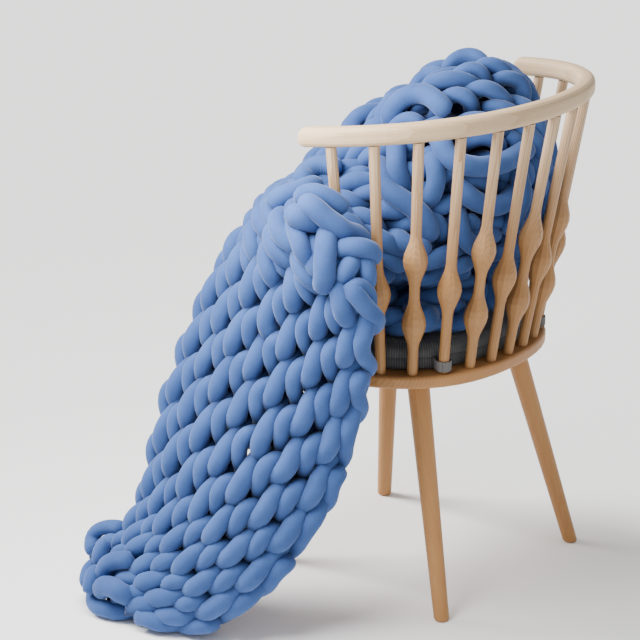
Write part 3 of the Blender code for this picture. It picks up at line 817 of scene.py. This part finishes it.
# ---------------------------------------------------------------- Blanket: how the yarn settles
# The stuffed tubes are soft and heavy. Where they cross or lie side by side they push each
# other apart until they just press, and the chair and the floor hold them up.
PRESS = 0.90                    # of their diameters is left between two tubes that touch
NEAR = 6                        # points along the same yarn that may be this close
EVEN_OUT = 0.18                 # share of a kink that each round takes away
HOLD = 0.22                     # share of the way back to its place that each round takes
OFF_CHAIR = 0.001
FLOOR_PRESS = 0.97              # of its radius is left under a tube that lies on the floor
ROUNDS = 10
chair_points, chair_faces = [], []
for name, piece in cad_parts.items():
    if name != "blanket":
        first = len(chair_points)
        chair_points += [v.co.copy() for v in piece.data.vertices]
        chair_faces += [[first + i for i in p.vertices] for p in piece.data.polygons]
chair_tree = BVHTree.FromPolygons(chair_points, chair_faces)


def settle(lengths, rounds):
    """Push crossing and neighbouring tubes apart, keeping each smooth and near its place."""
    points = np.vstack([part for part, _, _ in lengths])
    radius = np.concatenate([r for _, r, _ in lengths])
    bed = np.vstack([b for _, _, b in lengths])
    owner = np.concatenate([np.full(len(part), i) for i, (part, _, _) in enumerate(lengths)])
    home = points.copy()
    linked = owner[:-2] == owner[2:]
    for _ in range(rounds):
        tree = kdtree.KDTree(len(points))
        for i, point in enumerate(points):
            tree.insert(point, i)
        tree.balance()
        pairs = [(i, j) for i, point in enumerate(points)
                 for _, j, _ in tree.find_range(point, 2 * TUBE_RADIUS * PRESS)
                 if j > i and (owner[i] != owner[j] or j - i > NEAR)]
        one, two = np.array(pairs).T
        apart = points[one] - points[two]
        distance = np.maximum(np.linalg.norm(apart, axis=1), 1e-6)
        push = np.clip((radius[one] + radius[two]) * PRESS - distance, 0, None) / 2
        shift = apart / distance[:, None] * push[:, None]
        move, count = np.zeros_like(points), np.ones(len(points))
        np.add.at(move, one, shift)
        np.add.at(move, two, -shift)
        np.add.at(count, one, push > 0)
        np.add.at(count, two, push > 0)
        points += move / np.sqrt(count)[:, None]
        bend = (points[:-2] + points[2:] - 2 * points[1:-1]) * EVEN_OUT
        points[1:-1][linked] += bend[linked]
        points += (home - points) * HOLD
        for i, point in enumerate(points):
            reach = radius[i] + OFF_CHAIR
            near, normal, _, gap = chair_tree.find_nearest(Vector(point), reach)
            if near is not None:
                away = Vector(point) - near
                if away.dot(normal) < 0:
                    points[i] = near + normal * reach
                elif gap < reach:
                    points[i] = near + away.normalized() * reach
        points[:, 2] = np.maximum(points[:, 2], radius * FLOOR_PRESS)
    ends = np.cumsum([len(part) for part, _, _ in lengths])[:-1]
    return list(zip(np.split(points, ends), np.split(radius, ends), np.split(bed, ends)))


lengths = settle(lengths, ROUNDS)


# ---------------------------------------------------------------- Blanket: the yarn
# A tube of fine blue jersey with a brushed face, stuffed soft. It puckers on the inside of
# its bends, and the gaps between the stitches get painted shade, a dark blue mixed into the colour.
SIDES = 14                      # of a tube's section
RING_STEP = 0.0058              # from one section to the next
FEWEST_RINGS = 8
END_ROUND = 0.012               # a cut length's end narrows over this distance
END_BLUNT = 0.02                # to this share of its section
ANY_SIDE = 0.31, 0.52, 0.79     # where a section's first point faces, roughly
PAINTED_SHADE_UNDER = 0.024              # height over the strip where the gaps' painted shade starts
PAINTED_SHADE_OVER = 0.016               # and how far below that the painted shade is full


def tube(points, radius, bed):
    """A tube's points, ring by ring, with each one's place along it, its pinch and how much
    painted shade it gets, and the count of rings."""
    steps = np.linalg.norm(np.diff(points, axis=0), axis=1)
    travelled = np.append(0, np.cumsum(steps))
    count = max(int(travelled[-1] / RING_STEP), FEWEST_RINGS)
    wanted = np.linspace(0, travelled[-1], count)
    at = np.interp(wanted, travelled, np.arange(len(points)))
    line = smooth_rows(np.column_stack([points, radius, bed]), at)
    line, width, outward, height = line[:, :3], line[:, 3], line[:, 4:7], line[:, 7]
    from_end = np.minimum(wanted, travelled[-1] - wanted) / END_ROUND
    width = width * np.sqrt(np.clip(1 - (1 - np.clip(from_end, 0, 1)) ** 2, END_BLUNT, 1))
    ahead = unit(np.gradient(line, axis=0))
    curve = np.gradient(ahead, axis=0) / RING_STEP
    side = np.zeros_like(line)
    side[0] = unit(np.cross(ahead[0], ANY_SIDE))
    for i in range(1, count):
        side[i] = side[i - 1] - ahead[i] * np.dot(side[i - 1], ahead[i])
        side[i] /= np.linalg.norm(side[i])
    up = np.cross(ahead, side)
    turn = np.linspace(0, 2 * pi, SIDES, endpoint=False)
    out = side[:, None] * np.cos(turn)[:, None] + up[:, None] * np.sin(turn)[:, None]
    rings = line[:, None] + out * width[:, None, None]
    pinch = np.clip((out * curve[:, None]).sum(axis=2) * width[:, None], 0, 1)
    along = np.repeat(wanted[:, None], SIDES, axis=1)
    facing = (out * outward[:, None]).sum(axis=2)
    level = height[:, None] + facing * width[:, None]
    # A tube's far side, which lies on the bed, gets no painted shade
    open_side = np.clip(1.2 + 2 * facing, 0, 1)
    # Painted shade: the lower the surface lies over the strip, down in the gaps between the stitches,
    # the more dark blue goes into its colour
    painted_shade = np.clip((PAINTED_SHADE_UNDER - level) / PAINTED_SHADE_OVER, 0, 1) * open_side
    return rings.reshape(-1, 3), (along.ravel(), pinch.ravel(), painted_shade.ravel()), count


def yarn_mesh(name, lengths):
    """One mesh of several lengths of tube, with the numbers that its material reads."""
    points, faces, numbers, first = [], [], [], 0
    for length in lengths:
        rings, read, count = tube(*length)
        faces += [[first + i for i in face] for face in capped_faces(count, SIDES)]
        points.append(rings)
        numbers.append(read)
        first += count * SIDES
    mesh = smooth_mesh(name, np.vstack(points).tolist(), faces)
    for attribute, values in zip(("along", "pinch", "painted_shade"), zip(*numbers)):
        made = mesh.attributes.new(attribute, "FLOAT", "POINT")
        made.data.foreach_set("value", np.concatenate(values).astype(np.float32))
    return mesh


jersey, given, out = group(
    "brushed_jersey",
    [("Place", "Vector", None), ("Along", "Float", 0.0), ("Pinch", "Float", 0.0),
     ("Painted_shade", "Float", 0.0), ("Light", "Color", (0.3, 0.4, 0.7, 1)),
     ("Dark", "Color", (0.2, 0.3, 0.6, 1)), ("Shade", "Color", (0.02, 0.04, 0.12, 1)),
     ("Pucker width", "Float", 0.006)],
    [("Colour", "Color"), ("Height", "Float")])
patch = noise(jersey, given["Place"], 24.0, 3.0).outputs["Fac"]
nap = noise(jersey, given["Place"], 650.0, 3.0, 0.7).outputs["Fac"]
tone = worked(jersey, "MULTIPLY_ADD", nap, 0.55, patch)
tone = node(jersey, "ShaderNodeMapRange", {"From Min": 0.45, "From Max": 1.05}, {"Value": tone})
colour = mixed(jersey, tone.outputs[0], given["Dark"], given["Light"])
# Painted shade: the Shade colour is mixed in as far as the surface lies low in a gap
jersey.links.new(mixed(jersey, given["Painted_shade"], colour, given["Shade"]), out["Colour"])
# The jersey puckers across the tube on the inside of its bends
wander = noise(jersey, given["Place"], 70.0, 1.0).outputs["Fac"]
puckers = worked(jersey, "DIVIDE", given["Along"], given["Pucker width"])
ripple = waves(jersey, worked(jersey, "MULTIPLY_ADD", wander, 2.0, puckers))
strength = node(jersey, "ShaderNodeMapRange", {"From Min": 0.30, "From Max": 0.85},
                {"Value": given["Pinch"]})
ripple = worked(jersey, "MULTIPLY", ripple, strength.outputs[0])
jersey.links.new(worked(jersey, "MULTIPLY_ADD", nap, 0.35, ripple), out["Height"])

yarn, tree, shader = new_material("blue_yarn", 0.88)
read = {socket: node(tree, "ShaderNodeAttribute", attribute_name=socket.lower()).outputs["Fac"]
        for socket in ("Along", "Pinch", "Painted_shade")}
look = node(tree, "ShaderNodeGroup",
            {"Light": (0.050, 0.105, 0.285, 1), "Dark": (0.030, 0.068, 0.205, 1),
             "Shade": (0.003, 0.010, 0.042, 1), "Pucker width": 0.0065},
            {"Place": upright(tree), **read}, node_tree=jersey)
tree.links.new(look.outputs["Colour"], shader.inputs["Base Color"])
bump_from(tree, shader, look, 0.6, 0.0012)
shader.inputs["Sheen Weight"].default_value = 0.20
shader.inputs["Sheen Roughness"].default_value = 0.42
shader.inputs["Sheen Tint"].default_value = 0.72, 0.80, 1.0, 1
shader.inputs["Specular IOR Level"].default_value = 0.15

for name, part in (("blanket_fall", lengths[:fall_count]),
                   ("blanket_heap", lengths[fall_count:heap_count]),
                   ("blanket_folds_inside", lengths[heap_count:])):
    panel = link(name, yarn_mesh(name, part), yarn)
    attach(panel, "root")
    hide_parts("blanket")
